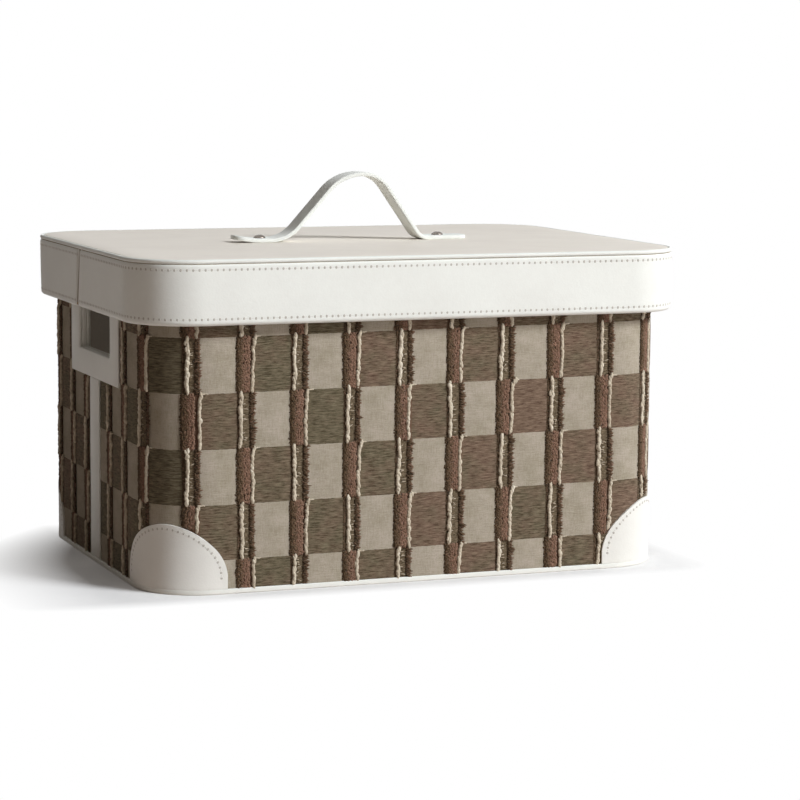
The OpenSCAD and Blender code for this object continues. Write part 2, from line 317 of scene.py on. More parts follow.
def round_path(name, w, d, r, start):
    """A line round the box, counter-clockwise, that starts at the middle of the rear or the left side."""
    def run(a, b):
        count = max(2, round(math.dist(a, b) / (4 * MM)))
        return [tuple(p + (q - p) * i / count for p, q in zip(a, b)) for i in range(count)]

    def bend(c, turn):
        angles = [turn + math.pi / 2 * i / 36 for i in range(36)]
        return [(c[0] + r * math.cos(a), c[1] + r * math.sin(a)) for a in angles]

    x, y = w / 2 - r, d / 2 - r
    rear = run((0, d / 2), (-x, d / 2)) + bend((-x, y), math.pi / 2)
    left_up, left_down = run((-w / 2, y), (-w / 2, 0)), run((-w / 2, 0), (-w / 2, -y))
    front = bend((-x, -y), math.pi) + run((-x, -d / 2), (x, -d / 2)) + bend((x, -y), 1.5 * math.pi)
    right = run((w / 2, -y), (w / 2, y)) + bend((x, y), 0) + run((x, d / 2), (0, d / 2))
    line = rear + left_up + left_down + front + right
    if start == "left":
        line = left_down + front + right + rear + left_up
    return thread_path(name, [(p[0], p[1], 0) for p in line + line[:1]])


def thread_path(name, line):
    data = bpy.data.curves.new(name, "CURVE")
    data.dimensions = "3D"
    data.twist_mode = "Z_UP"
    spline = data.splines.new("POLY")
    spline.points.add(len(line) - 1)
    for point, place in zip(spline.points, line):
        point.co = (*place, 1)
    path = bpy.data.objects.new(name, data)
    bpy.context.scene.collection.objects.link(path)
    return path


def run_length(w, d, r):
    return 2 * (w + d) - 8 * r + 2 * math.pi * r


def lead_round(piece, path):
    """Leads a flat piece along a path. X runs along it and Y stands across it."""
    return finish_with(piece, "CURVE", object=path, deform_axis="POS_X")


def flat_sheet(name, x0, x1, z0, z1, step_x, step_z, out=0.0):
    """An upright flat sheet that faces -Y, ready to be led round the box."""
    hands_off()
    bpy.ops.mesh.primitive_grid_add(
        x_subdivisions=max(1, round((x1 - x0) / step_x)), y_subdivisions=max(1, round((z1 - z0) / step_z)),
        size=1, location=((x0 + x1) / 2, out, (z0 + z1) / 2), rotation=UPRIGHT)
    bpy.context.object.scale = (x1 - x0, z1 - z0, 1)
    return fresh(name)


def lay_copies(name, master, spots, turns, sizes, tone, hidden=None):
    """One mesh of many copies of a small master: places, turns about X, Y and Z, sizes along X, Y and Z."""
    shape = points(master)
    faces = [tuple(f.vertices) for f in master.data.polygons]
    count, corners = len(spots), len(shape)
    cx, cy, cz = (np.cos(turns[:, i]) for i in range(3))
    sx, sy, sz = (np.sin(turns[:, i]) for i in range(3))
    turn = np.empty((count, 3, 3))
    turn[:, 0] = np.stack([cy * cz, sx * sy * cz - cx * sz, cx * sy * cz + sx * sz], 1)
    turn[:, 1] = np.stack([cy * sz, sx * sy * sz + cx * cz, cx * sy * sz - sx * cz], 1)
    turn[:, 2] = np.stack([-sy, sx * cy, cx * cy], 1)
    sized = shape[None] * sizes[:, None]
    laid = np.einsum("nij,nkj->nki", turn, sized) + spots[:, None]
    if hidden:
        shown = ~hidden(laid[..., 0], laid[..., 2]).any(axis=1)
        laid, tone, count = laid[shown], tone[shown], int(shown.sum())
    mesh = bpy.data.meshes.new(name)
    mesh.from_pydata(
        laid.reshape(-1, 3).tolist(), [],
        [tuple(i + n * corners for i in f) for n in range(count) for f in faces])
    mesh.polygons.foreach_set("use_smooth", np.ones(len(mesh.polygons), bool))
    shade = mesh.attributes.new("tone", "FLOAT", "POINT")
    shade.data.foreach_set("value", np.repeat(tone, corners).astype(np.float32))
    piece = bpy.data.objects.new(name, mesh)
    bpy.context.scene.collection.objects.link(piece)
    return piece


# Materials

def linear(r, g, b):
    """A colour as it is seen, 0 to 255, as the shader takes it."""
    def one(c):
        c /= 255
        return c / 12.92 if c <= 0.04045 else ((c + 0.055) / 1.055) ** 2.4
    return (one(r), one(g), one(b), 1.0)


class Mixing:
    """Nodes of one material, joined by short calls."""

    def __init__(self, name, roughness=0.5, specular=0.5, matte=0.0):
        self.material = bpy.data.materials.new(name)
        self.material.use_nodes = True
        self.tree = self.material.node_tree
        self.shader = self.tree.nodes["Principled BSDF"]
        self.shader.inputs["Roughness"].default_value = roughness
        self.shader.inputs["Specular IOR Level"].default_value = specular
        self.shader.inputs["Diffuse Roughness"].default_value = matte

    def put(self, socket, value):
        if isinstance(value, bpy.types.NodeSocket):
            self.tree.links.new(value, socket)
        else:
            socket.default_value = value

    def node(self, kind, inputs=None, out=0, **settings):
        made = self.tree.nodes.new(kind)
        for key, value in settings.items():
            setattr(made, key, value)
        for key, value in (inputs or {}).items():
            self.put(made.inputs[key], value)
        return made.outputs[out]

    def sum(self, operation, a, b=0.0, c=0.0):
        return self.node("ShaderNodeMath", {0: a, 1: b, 2: c}, operation=operation)

    def place(self):
        return self.node("ShaderNodeTexCoord", out=3)

    def stretch(self, vector, scale):
        return self.node("ShaderNodeVectorMath", {0: vector, 1: scale}, operation="MULTIPLY")

    def noise(self, vector, scale, detail=3.0, roughness=0.5):
        return self.node("ShaderNodeTexNoise", {"Vector": vector, "Scale": scale, "Detail": detail,
                                                "Roughness": roughness})

    def streaks(self, vector, across, up, detail=3.0, roughness=0.5):
        return self.noise(self.stretch(vector, (across, up, 0.0)), 1.0, detail, roughness)

    def apart(self, vector):
        made = self.tree.nodes.new("ShaderNodeSeparateXYZ")
        self.put(made.inputs[0], vector)
        return made.outputs

    def cells(self, vector, scale, feature="F1"):
        return self.node("ShaderNodeTexVoronoi", {"Vector": vector, "Scale": scale}, feature=feature)

    def spread(self, value, low, high, to_low=0.0, to_high=1.0):
        return self.node("ShaderNodeMapRange", {0: value, 1: low, 2: high, 3: to_low, 4: to_high})

    def blend(self, share, a, b):
        made = self.tree.nodes.new("ShaderNodeMix")
        made.data_type = "RGBA"
        for socket, value in ((made.inputs[0], share), (made.inputs[6], a), (made.inputs[7], b)):
            self.put(socket, value)
        return made.outputs[2]

    def bump(self, height, strength, distance, under=None):
        inputs = {"Height": height, "Strength": strength, "Distance": distance}
        if under is not None:
            inputs["Normal"] = under
        return self.node("ShaderNodeBump", inputs)

    def give(self, **sockets):
        for key, value in sockets.items():
            self.put(self.shader.inputs[key.replace("_", " ")], value)
        return self.material


def leather(name, light, dark, grain=0.12, matte=0.4):
    """Smooth coated leather: faint clouds, fine pebbled grain and small pores."""
    m = Mixing(name, specular=0.1, matte=matte)
    place = m.place()
    clouds = m.noise(place, 26.0, 3.0)
    mottle = m.noise(place, 240.0, 4.0, 0.6)
    share = m.sum("ADD", m.spread(clouds, 0.3, 0.7, 0.0, 0.7), m.spread(mottle, 0.35, 0.65, 0.0, 0.3))
    pebble = m.cells(place, 950.0, "SMOOTH_F1")
    crease = m.noise(place, 420.0, 5.0, 0.65)
    pores = m.noise(place, 2600.0, 2.0)
    under = m.bump(crease, grain, 0.5 * MM)
    under = m.bump(pebble, grain, 0.35 * MM, under)
    normal = m.bump(pores, grain * 0.5, 0.2 * MM, under)
    rough = m.spread(mottle, 0.3, 0.7, 0.44, 0.58)
    return m.give(Base_Color=m.blend(share, linear(*dark), linear(*light)), Roughness=rough, Normal=normal)


def checked_cloth():
    """Woven ground of the check. Its own map counts columns across and rows up."""
    m = Mixing("checked_cloth", roughness=0.95, specular=0.08)
    cell = m.node("ShaderNodeUVMap", uv_map="cell")
    wander = m.streaks(cell, 14.0, 60.0, 2.0)
    sway = m.stretch(m.node("ShaderNodeCombineXYZ", {0: wander, 1: wander}), (0.012, 0.02, 0.0))
    shifted = m.node("ShaderNodeVectorMath", {0: cell, 1: sway}, operation="ADD")
    across, up = m.apart(shifted)[:2]
    column, row = m.sum("FLOOR", across), m.sum("FLOOR", up)
    light_cell = m.sum("FLOORED_MODULO", m.sum("ADD", column, row), 2.0)
    from_band = m.sum("SUBTRACT", m.sum("FRACT", m.sum("ADD", across, 0.5)), 0.5)
    band = m.sum("MULTIPLY", m.spread(from_band, -0.2, -0.185), m.spread(from_band, 0.135, 0.12))
    # Weft streaks lie across, warp lines stand up, both broken and uneven
    weft = m.streaks(shifted, 5.5, 38.0, 5.0, 0.68)
    warp = m.streaks(shifted, 44.0, 5.5, 5.0, 0.7)
    knots = m.streaks(cell, 40.0, 40.0, 3.0, 0.7)
    # Each brown cell was woven from a lot of its own, between olive and reddish brown
    olive, russet = linear(99, 93, 69), linear(131, 100, 85)
    spot = m.node("ShaderNodeCombineXYZ", {0: column, 1: row})
    lot = m.node("ShaderNodeTexWhiteNoise", {"Vector": spot}, noise_dimensions="2D")
    blotch = m.streaks(cell, 2.2, 2.6, 3.0, 0.6)
    own = m.sum("ADD", m.spread(lot, 0.0, 1.0, -0.45, 0.45), m.spread(blotch, 0.3, 0.7, 0.1, 0.9))
    lean = m.sum("ADD", m.spread(across, -5.0, 5.0, -0.25, 0.25), own)
    hue = m.blend(m.spread(lean, 0.1, 0.9), olive, russet)
    deep, pale = m.blend(0.68, hue, linear(50, 40, 29)), m.blend(0.46, hue, linear(164, 150, 127))
    dark = m.blend(m.spread(weft, 0.36, 0.66), deep, pale)
    dark = m.blend(m.spread(knots, 0.62, 0.8, 0.0, 0.35), dark, linear(142, 126, 104))
    hue = m.blend(m.spread(blotch, 0.35, 0.65), linear(163, 154, 134), linear(185, 174, 159))
    deep, pale = m.blend(0.2, hue, linear(118, 106, 88)), m.blend(0.16, hue, linear(214, 206, 190))
    light = m.blend(m.spread(weft, 0.3, 0.7), deep, pale)
    for share, thread in (
            (m.spread(warp, 0.45, 0.75, 0.0, 0.4), linear(200, 191, 176)),
            (m.spread(warp, 0.48, 0.28, 0.0, 0.3), linear(142, 132, 114)),
            (m.spread(knots, 0.52, 0.72, 0.0, 0.45), linear(132, 121, 103))):
        light = m.blend(share, light, thread)
    strands = m.streaks(shifted, 14.0, 52.0, 4.0, 0.7)
    gap = m.blend(m.spread(strands, 0.36, 0.64), linear(58, 48, 34), linear(140, 124, 101))
    # Painted shadow: a dark line along the left side of the cream yarn, where the raised yarn shades the ground
    yarn_shadow_line = m.sum("MULTIPLY", m.spread(from_band, -0.2, -0.19), m.spread(from_band, -0.14, -0.15))
    gap = m.blend(m.sum("MULTIPLY", yarn_shadow_line, 0.5), gap, linear(60, 50, 35))
    # Where the count falls on a light column left of the band, brown pile covers the gap
    left_column = m.sum("FLOOR", m.sum("SUBTRACT", across, 0.5))
    left_cell = m.sum("FLOORED_MODULO", m.sum("ADD", left_column, row), 2.0)
    gap = m.blend(left_cell, gap, linear(112, 88, 72))
    colour = m.blend(band, m.blend(light_cell, dark, light), gap)
    threads = m.node("ShaderNodeTexWave", {"Vector": m.stretch(cell, (1.5, 50.0, 0.0)), "Scale": 0.5,
                                           "Distortion": 2.5, "Detail": 2.0}, bands_direction="Y")
    under = m.bump(weft, 0.55, 0.7 * MM)
    under = m.bump(knots, 0.3, 0.5 * MM, under)
    normal = m.bump(threads, 0.35, 0.4 * MM, under)
    return m.give(Base_Color=colour, Normal=normal, Sheen_Weight=0.05, Sheen_Roughness=0.6)


def yarn(name, stops):
    """Loose yarn: each tuft has its own shade, broken along its length."""
    m = Mixing(name, roughness=0.95, specular=0.08)
    tone = m.node("ShaderNodeAttribute", out=2, attribute_name="tone")
    fleck = m.noise(m.place(), 900.0, 3.0, 0.6)
    value = m.sum("ADD", tone, m.spread(fleck, 0.3, 0.7, -0.09, 0.09))
    ramp = m.tree.nodes.new("ShaderNodeValToRGB")
    m.put(ramp.inputs[0], value)
    marks = ramp.color_ramp.elements
    while len(marks) < len(stops):
        marks.new(0.5)
    for mark, (spot, colour) in zip(marks, stops):
        mark.position = spot
        mark.color = linear(*colour)
    return m.give(Base_Color=ramp.outputs[0], Normal=m.bump(fleck, 0.4, 0.3 * MM),
                  Sheen_Weight=0.1, Sheen_Roughness=0.5)


def lining_cloth():
    m = Mixing("lining_cloth", roughness=0.9, specular=0.2)
    place = m.place()
    weave = m.noise(place, 1500.0, 3.0, 0.6)
    clouds = m.noise(place, 18.0, 2.0)
    value = m.sum("ADD", m.spread(weave, 0.3, 0.7, 0.0, 0.6), m.spread(clouds, 0.3, 0.7, 0.0, 0.4))
    colour = m.blend(value, linear(186, 177, 166), linear(212, 204, 193))
    # The lining glows faintly: painted light that stands in for light bouncing round inside the box
    return m.give(Base_Color=colour, Emission_Color=colour, Emission_Strength=0.03,
                  Normal=m.bump(weave, 0.4, 0.3 * MM))


def raw_board():
    m = Mixing("raw_board", roughness=0.85, specular=0.2)
    fibre = m.noise(m.stretch(m.place(), (400.0, 400.0, 1600.0)), 1.0, 4.0, 0.6)
    colour = m.blend(m.spread(fibre, 0.3, 0.7), linear(146, 122, 92), linear(182, 158, 124))
    return m.give(Base_Color=colour, Normal=m.bump(fibre, 0.25, 0.3 * MM))


def polished_metal():
    m = Mixing("polished_metal")
    rub = m.noise(m.place(), 700.0, 4.0, 0.6)
    colour = m.blend(m.spread(rub, 0.35, 0.65), linear(112, 104, 97), linear(140, 133, 126))
    return m.give(Base_Color=colour, Roughness=m.spread(rub, 0.3, 0.7, 0.16, 0.28), Metallic=1.0)


def thread_stuff(name, light, dark):
    m = Mixing(name, roughness=0.7, specular=0.1, matte=0.8)
    twist = m.noise(m.place(), 1800.0, 2.0)
    colour = m.blend(m.spread(twist, 0.35, 0.65), linear(*dark), linear(*light))
    return m.give(Base_Color=colour, Normal=m.bump(twist, 0.3, 0.2 * MM))


WHITE = leather("white_leather", (246, 248, 243), (240, 241, 236))
PATCH = leather("patch_leather", (246, 246, 241), (241, 240, 235), 0.12, 0.7)
TOP = leather("top_leather", (250, 243, 232), (242, 234, 223), 0.1, 0.0)
CLOTH = checked_cloth()
PILE = yarn("brown_pile", [(0.0, (58, 46, 30)), (0.35, (98, 79, 60)), (0.7, (136, 106, 89)),
                           (1.0, (166, 130, 111))])
CREAM = yarn("cream_yarn", [(0.0, (168, 154, 134)), (0.5, (205, 194, 174)), (1.0, (232, 224, 208))])
INSIDE = lining_cloth()
BOARD = raw_board()
METAL = polished_metal()
THREAD = thread_stuff("stitch_thread", (244, 244, 239), (226, 224, 217))
# Needle marks: their greyer colour is painted shade of the needle holes
NEEDLE_SHADE = thread_stuff("needle_hole", (214, 211, 204), (200, 196, 188))
# Seam tape: a strip behind the seam gap whose grey paints the shade inside the seam
SHADE_TAPE = thread_stuff("seam_shade_tape", (176, 164, 153), (160, 149, 138))


# Camera, light and floor

# The camera stands as fitted for a picture 800 pixels wide
PICTURE_PX, SENSOR_MM = 800, 36
FOCAL_PX, CAMERA_AWAY = 2739.7, 1.8806
AZIMUTH, ELEVATION, ROLL = math.radians(-21.39), math.radians(7.25), math.radians(0.42)
AIM = Vector((0.03764, 0.0, 0.09941))

# Lamps: name, place, aim, power and colour
LAMP_SIZE = 1.2
COOL, NEUTRAL = (0.968, 1.0, 1.035), (1.0, 1.0, 1.0)
LAMPS = (
    ("key", (1.934, -2.305, 2.42), (0, 0, 0.1), 130, COOL),
    ("low_key", (1.934, -2.305, 0.25), (0, 0, 0.1), 26, COOL),
    ("rear", (0.6, 3.0, 0.35), (0, 0, 0.12), 22, NEUTRAL))
PURE_WHITE, FLOOR_BOUNCE = (1, 1, 1, 1), (0.63, 0.53, 0.47, 1)
AMBIENT, AMBIENT_LEVEL = (1.0, 0.87, 0.75, 1), 0.095
SHADOW_START, SHADOW_END, SHADOW_BEHIND = 22 * MM, 92 * MM, 2.87
SHADOW_SHORT, SHADOW_LIFT = 3.5, 0.22


def set_camera():
    level = math.cos(ELEVATION)
    back = Vector((math.sin(AZIMUTH) * level, -math.cos(AZIMUTH) * level, math.sin(ELEVATION)))
    side = (-back).cross(Vector((0, 0, 1))).normalized()
    up = side.cross(-back)
    right = side * math.cos(ROLL) + up * math.sin(ROLL)
    high = -side * math.sin(ROLL) + up * math.cos(ROLL)
    data = bpy.data.cameras.new("camera")
    data.sensor_width = SENSOR_MM
    data.lens = FOCAL_PX * SENSOR_MM / PICTURE_PX
    data.clip_end = 50
    camera = bpy.data.objects.new("camera", data)
    bpy.context.scene.collection.objects.link(camera)
    turn = Matrix((right, high, back)).transposed().to_4x4()
    camera.matrix_world = Matrix.Translation(AIM + back * CAMERA_AWAY) @ turn
    bpy.context.scene.camera = camera


def set_lamp(name, place, aim, power, colour):
    data = bpy.data.lights.new(name, "AREA")
    data.shape = "DISK"
    data.size = LAMP_SIZE
    data.energy = power
    data.color = colour
    lamp = bpy.data.objects.new(name, data)
    bpy.context.scene.collection.objects.link(lamp)
    lamp.location = place
    lamp.rotation_euler = (Vector(aim) - Vector(place)).to_track_quat("-Z", "Y").to_euler()
    return lamp


def floor_paper():
    """Pale paper. The shadow is deepest beside the box and fades into the white of the paper."""
    m = Mixing("floor_paper", roughness=0.9, specular=0.0)
    place = m.place()
    rays = m.tree.nodes.new("ShaderNodeLightPath").outputs
    seen = m.sum("MAXIMUM", rays["Is Camera Ray"], rays["Is Glossy Ray"])
    seen = m.sum("MAXIMUM", seen, rays["Is Transmission Ray"])
    paper = m.spread(m.noise(place, 120.0, 3.0), 0.3, 0.7)
    plain = m.blend(paper, linear(236, 236, 236), linear(239, 239, 239))
    m.give(Base_Color=m.blend(seen, FLOOR_BOUNCE, plain))
    x, y = m.apart(place)[:2]

    def beyond(run, way, side):
        """How far a place lies past a side of the box, times the size of way."""
        return m.sum("MAXIMUM", m.sum("SUBTRACT", m.sum("MULTIPLY", run, way), abs(way) * side / 2), 0.0)

    sideways = m.sum("ADD", beyond(x, -1.0, BODY_W), beyond(x, SHADOW_SHORT, BODY_W))
    off = m.node("ShaderNodeCombineXYZ", {0: sideways, 1: beyond(y, -SHADOW_SHORT, BODY_D)})
    beside = m.node("ShaderNodeVectorMath", {0: off}, out=1, operation="LENGTH")
    behind = m.sum("MAXIMUM", m.sum("ADD", y, 30 * MM), 0.0)
    away = m.sum("ADD", beside, m.sum("MULTIPLY", m.sum("MULTIPLY", behind, behind), SHADOW_BEHIND))
    far = m.spread(away, SHADOW_START, SHADOW_END)
    # Seen from the camera the paper glows a little: a painted glow, dimmed by occlusion beside the box, paints a
    # contact shadow there; further out painted white covers the cast shadow
    open_sky = m.node("ShaderNodeAmbientOcclusion", {"Distance": 0.2}, out=1)
    glow = m.sum("MULTIPLY", seen, m.sum("MULTIPLY", m.sum("MULTIPLY", open_sky, open_sky), SHADOW_LIFT))
    lift = m.node("ShaderNodeEmission", {"Color": PURE_WHITE, "Strength": glow})
    white = m.node("ShaderNodeEmission", {"Color": PURE_WHITE, "Strength": 1.0})
    shaded = m.node("ShaderNodeAddShader", {0: m.shader.outputs[0], 1: lift})
    shown = m.node("ShaderNodeMixShader", {0: m.sum("MULTIPLY", far, seen), 1: shaded, 2: white})
    m.put(m.tree.nodes["Material Output"].inputs[0], shown)
    return m.material


def set_room():
    """A room that is seen white and lights the box with a faint warm tone."""
    world = bpy.data.worlds.new("studio")
    bpy.context.scene.world = world
    world.use_nodes = True
    nodes = world.node_tree.nodes
    rays = nodes.new("ShaderNodeLightPath").outputs
    seen, mix = nodes.new("ShaderNodeMath"), nodes.new("ShaderNodeMixShader")
    seen.operation = "MAXIMUM"
    ambient, white = nodes["Background"], nodes.new("ShaderNodeBackground")
    for light, colour, level in ((ambient, AMBIENT, AMBIENT_LEVEL), (white, PURE_WHITE, 1.0)):
        light.inputs[0].default_value = colour
        light.inputs[1].default_value = level
    for source, socket in (
            (rays["Is Camera Ray"], seen.inputs[0]), (rays["Is Glossy Ray"], seen.inputs[1]),
            (seen.outputs[0], mix.inputs[0]), (ambient.outputs[0], mix.inputs[1]),
            (white.outputs[0], mix.inputs[2]), (mix.outputs[0], nodes["World Output"].inputs[0])):
        world.node_tree.links.new(source, socket)


def set_stage():
    hands_off()
    bpy.ops.mesh.primitive_plane_add(size=40)
    floor = fresh("floor")
    floor.data.materials.append(floor_paper())
    set_room()
    for name, place, aim, power, colour in LAMPS:
        lamp = set_lamp(name, place, aim, power, colour)
        # The rear lamp lights the far side and leaves no shine on the lid
        lamp.visible_glossy = name != "rear"
    bpy.context.scene.view_settings.view_transform = "Standard"


# Fabric of the box

def under_leather(x, z, slack=0.0):
    """True where a flat place of the front fabric lies under a patch, a grip or a strip."""
    x = np.abs(x)
    off = np.abs(x - (BODY_W / 2 - BODY_R + CORNER_BEND))
    across = np.where(off <= CORNER_BEND, BODY_R * np.sin(np.minimum(off, CORNER_BEND) / BODY_R),
                      (BODY_R + off - CORNER_BEND) * DIAGONAL)
    middle, half = BASE_H + CORNER_H - CORNER_HALF, CORNER_HALF - slack
    corner = (across < half) & ((z < middle) | ((across ** 2 + (z - middle) ** 2) < half ** 2))
    grip = (x > HALF_RUN - PATCH_W / 2 + slack) & (z > PATCH_LOW + slack) & (z < PATCH_TOP - slack)
    strip = (x > HALF_RUN - STRIP_W / 2 + slack) & (z < PATCH_LOW - slack)
    return corner | grip | strip


def woven_ground():
    """Front fabric, laid flat, with its cells slightly swollen and the finger holes cut out."""
    edge, side = HALF_RUN - SHEET_GAP, HALF_RUN - CUT_REACH
    cloth = flat_sheet("cloth_front", -edge, edge, BASE_H, WALL_TOP, 3 * MM, 3 * MM)
    slice_up(cloth, 2, (CUT_LOW, CUT_HIGH))
    slice_up(cloth, 0, (-side, side))
    cut_out(cloth, lambda p, n: abs(p[0]) > side and CUT_LOW < p[2] < CUT_HIGH)
    co = points(cloth)
    u, v = (co[:, 0] - COLUMN_START) / COLUMN_PITCH, (co[:, 2] - row_foot(co[:, 0])) / ROW_PITCH
    layer = cloth.data.uv_layers.new(name="cell")
    index = np.empty(len(cloth.data.loops), np.int32)
    cloth.data.loops.foreach_get("vertex_index", index)
    layer.data.foreach_set("uv", np.stack([u[index], v[index]], 1).astype(np.float32).ravel())
    swell = np.clip(1 - (np.abs(u % 1 - 0.5) / 0.36) ** 2, 0, 1)
    swell *= np.clip(1 - (np.abs(v % 1 - 0.5) / 0.5) ** 4, 0, 1)
    swell[under_leather(co[:, 0], co[:, 2], -2 * MM)] = 0
    co[:, 1] -= 0.35 * MM * swell
    set_points(cloth, co)
    return cloth


def tuft():
    """One cut end of yarn, a length of one along X, thick at its root."""
    hands_off()
    bpy.ops.mesh.primitive_cone_add(
        vertices=4, radius1=0.5, radius2=0.1, depth=1, location=(0.5, 0, 0), rotation=ALONG_X)
    piece = fresh("tuft")
    slice_up(piece, 0, (0.55,))
    co = points(piece)
    middle = (co[:, 0] > 0.3) & (co[:, 0] < 0.8)
    co[middle, 1:] *= 1.6
    co[middle, 1] -= 0.2
    set_points(piece, co)
    return piece


def bands():
    """Where the pile bands of one fabric stand, with their number."""
    reach = int(HALF_RUN / COLUMN_PITCH) + 2
    for b in range(-reach, reach + 1):
        x = COLUMN_START + b * COLUMN_PITCH
        if abs(x) + BAND_REACH < HALF_RUN - STRIP_W / 2:
            yield b, x


def row_foot(x):
    """Height at which the first whole row starts: the cloth was laid on a little askew."""
    return ROW_START + ROW_RISE * np.clip(x, BODY_R - BODY_W / 2, BODY_W / 2 - BODY_R)


def rows(x):
    for r in range(-1, 6):
        low = row_foot(x) + r * ROW_PITCH
        yield r, max(low, BASE_H), min(low + ROW_PITCH, WALL_TOP)


def fringe_row(b, r):
    return (b - 1 + r) % 2 == 0


def lay_pile(fringe):
    """Brown pile: a cut fringe beside the thick yarn in one row, a broad velvet band in the next."""
    spots, turns, sizes, tones = [], [], [], []

    def lay(x, y, z, aim, lift, length, thick, tone, flat=1.0):
        """A tuft that leans along aim in the plane of the cloth and stands out of it by lift."""
        spots.append((x, y, z))
        turns.append((0.0, -math.asin(math.sin(aim) * math.cos(lift)),
                      math.atan2(-math.sin(lift), math.cos(aim) * math.cos(lift))))
        sizes.append((length, thick * flat, thick))
        tones.append(tone)

    def fringe_tufts(x, low, high, drift):
        clump = 0.0
        for i, z in enumerate(np.arange(low + 0.3 * MM, high - 0.2 * MM, FRINGE_STEP)):
            if i % 3 == 0:
                clump = near(0, 0.5)
            lay(x + (FRINGE_LEFT + near(0, 0.25)) * MM, 0.0, z + near(0, 0.25) * MM,
                math.pi + near(0, 0.45), between(0.1, 0.4),
                between(1.0, 1.9) * MM, between(0.8, 1.2) * MM, near(0.3, 0.1))
            for root, reach in FRINGE_RIGHT:
                lay(x + (root + drift + near(0, 0.3)) * MM, 0.0, z + near(0, 0.25) * MM,
                    near(0, 0.3), between(0.15, 0.6), (reach - 0.3 + clump + near(0, 0.3)) * MM,
                    between(0.9, 1.3) * MM, 0.03 + 0.13 * root + near(0.06, 0.1))

    def velvet_tufts(x, low, high, drift):
        for z in np.arange(low + 0.5 * MM, high - 0.2 * MM, VELVET_STEP):
            for root in VELVET_ROOTS:
                lay(x + (root + drift + near(0, 0.35)) * MM, -0.55 * MM, z + near(0, 0.3) * MM,
                    between(-math.pi, math.pi), between(0.0, 0.3), between(2.1, 3.1) * MM,
                    between(1.5, 2.0) * MM, min(0.62, 0.78 + 0.09 * root) + near(0, 0.08), 0.75)
            # Tufts along the left edge of the velvet; their dark tone paints the shadow line along that edge
            for root in VELVET_SHADOW_EDGE:
                lay(x + (root + drift + near(0, 0.3)) * MM, -0.2 * MM, z + near(0, 0.2) * MM,
                    math.pi + near(0, 0.4), between(0.1, 0.5),
                    between(1.4, 2.6) * MM, 1.2 * MM, near(0.2, 0.1))

    tufts = fringe_tufts if fringe else velvet_tufts
    for b, x in bands():
        for r, low, high in rows(x):
            if fringe_row(b, r) == fringe:
                tufts(x, low, high, near(0, 0.35))
    return (np.array(a) for a in (spots, turns, sizes, tones))


def lay_yarn():
    """Thick cream yarn: a loose, uneven bundle of loops that changes sides from row to row."""
    spots, turns, sizes, tones = [], [], [], []

    def lay(x, z, slant, wide, length, tone):
        spots.append((x, -between(0.5, 1.0) * MM, z))
        turns.append((near(0, 0.12), slant, near(0, 0.2)))
        sizes.append((wide * MM, between(0.85, 1.0) * wide * MM, length * MM))
        tones.append(tone)

    for b, x in bands():
        for r, low, high in rows(x):
            fringed = fringe_row(b, r)
            line = x + ((YARN_BY_FRINGE if fringed else YARN_BY_VELVET) + near(0, 0.45)) * MM
            swing, phase, lean = between(0.1, 0.3) * MM, between(0, 6.28), near(0.012, 0.012)
            shade = near(0, 0.06)
            for z in np.arange(low + 1.0 * MM, high - 0.6 * MM, YARN_STEP):
                wave = swing * math.sin(z / (4.5 * MM) + phase) + lean * (z - (low + high) / 2)
                if fringed:
                    lay(line + wave + near(0, 0.32) * MM, z, near(0, 0.17),
                        between(1.9, 2.6), between(3.2, 5.0), near(0.48, 0.12) + shade)
                else:
                    hook = max(0.0, 1 - (high - z) / (6 * MM)) ** 2 * 1.6 * MM
                    lay(line + wave + hook + near(0, 0.3) * MM, z, near(0, 0.15),
                        between(1.9, 2.5), between(3.0, 4.6), near(0.36, 0.12) + shade)
            if fringed:
                for z in between(low + 2 * MM, high - 2 * MM, 9):
                    lay(line + between(1.4, 3.6) * MM, z, math.pi / 2 + near(0, 0.3),
                        between(0.45, 0.8), between(1.6, 3.4), near(0.1, 0.12))
            else:
                for step in YARN_TURN:
                    lay(line + step * MM, high - 0.5 * MM + 0.08 * step * MM,
                        math.pi / 2 + near(0, 0.15), 1.5 - 0.12 * step, 2.6, near(0.36, 0.1))
    return (np.array(a) for a in (spots, turns, sizes, tones))


def cover_box():
    """Both fabrics with their pile and yarn. Gives the line round the box and half its length."""
    path = round_path("box_line", BODY_W, BODY_D, BODY_R, "rear")
    half = run_length(BODY_W, BODY_D, BODY_R) / 2

    def led(piece):
        set_points(piece, points(piece) + (half, 0, 0))
        return lead_round(piece, path)

    cloth = led(woven_ground())
    thicken(cloth, 1.2 * MM, 0.25 * MM, segments=2)
    smooth(cloth)
    pieces = [cloth]
    for name, master, laid in (
            ("fringe_front", tuft(), lay_pile(True)),
            ("velvet_front", grain("puff", 4, 3, ALONG_X), lay_pile(False)),
            ("yarn_front", grain("yarn_loop", 6, 5), lay_yarn())):
        spots, turns, sizes, tones = laid
        piece = lay_copies(name, master, spots, turns, sizes, np.clip(tones, 0, 1),
                           lambda x, z: under_leather(x, z, -0.3 * MM))
        bpy.data.objects.remove(master)
        pieces.append(led(piece))
    rear = [turned(p, p.name.replace("front", "rear"), math.pi) for p in pieces]
    for side, group in (("front", pieces), ("rear", rear)):
        for piece, material in zip(group, (CLOTH, PILE, PILE, CREAM)):
            dress(piece, material, "box", "checked_fabric")
        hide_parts("fabric_" + side)
        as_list(group[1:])
    return path, half


# Leather of the box

def stitch():
    """One stitch of thread, a length of one along X, its ends pulled into the leather."""
    piece = grain("stitch", 8, 6, ALONG_X)
    co = points(piece)
    co[:, 1] += 0.25 * (2 * co[:, 0]) ** 4
    set_points(piece, co)
    return piece


